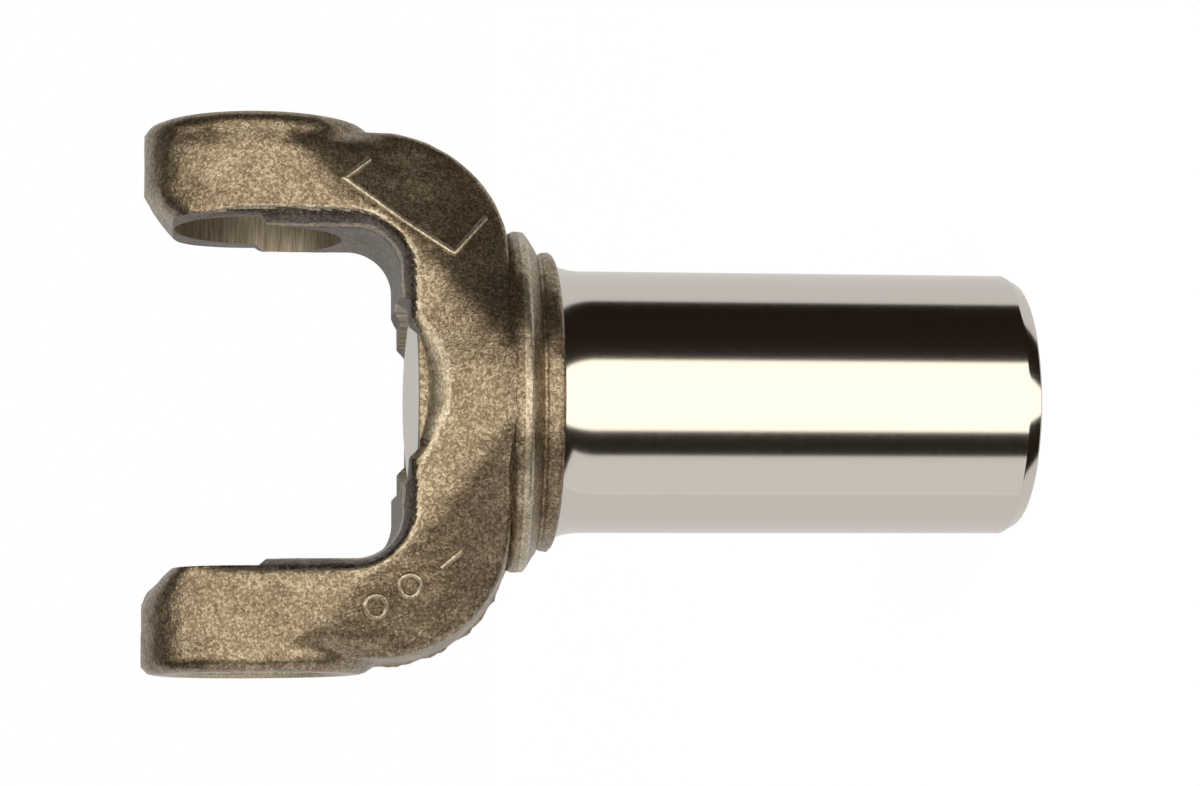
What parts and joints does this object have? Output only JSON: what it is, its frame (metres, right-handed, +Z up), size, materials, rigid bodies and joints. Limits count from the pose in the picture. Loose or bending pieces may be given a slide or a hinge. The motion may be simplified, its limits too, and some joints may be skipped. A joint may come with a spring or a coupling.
{
  "type": "forged slip yoke",
  "caption": "Forged slip yoke: a fork with a cross bore through its ears, a flange and a smooth ground barrel with an internal spline, closed by a domed plug.",
  "frame": {"origin": "where the cross-bore axis meets the barrel axis, midway between the ears", "axes": "+Z up, along the barrel from its open end to the fork: the yoke stands on the end of its barrel; +Y along the cross bore; +X across the flat faces of the fork, with the dies' parting plane at X = 0"},
  "size_m": [0.0624, 0.0992, 0.1602],
  "materials": {
    "forged_steel": "forged and shot-blasted skin, with bored, milled and ground surfaces",
    "plug_sheet": "stamped sheet, plated pale grey"
  },
  "bodies": {
    "root": {"yoke": "forged_steel", "expansion_plug": "plug_sheet"}
  },
  "joints": []
}
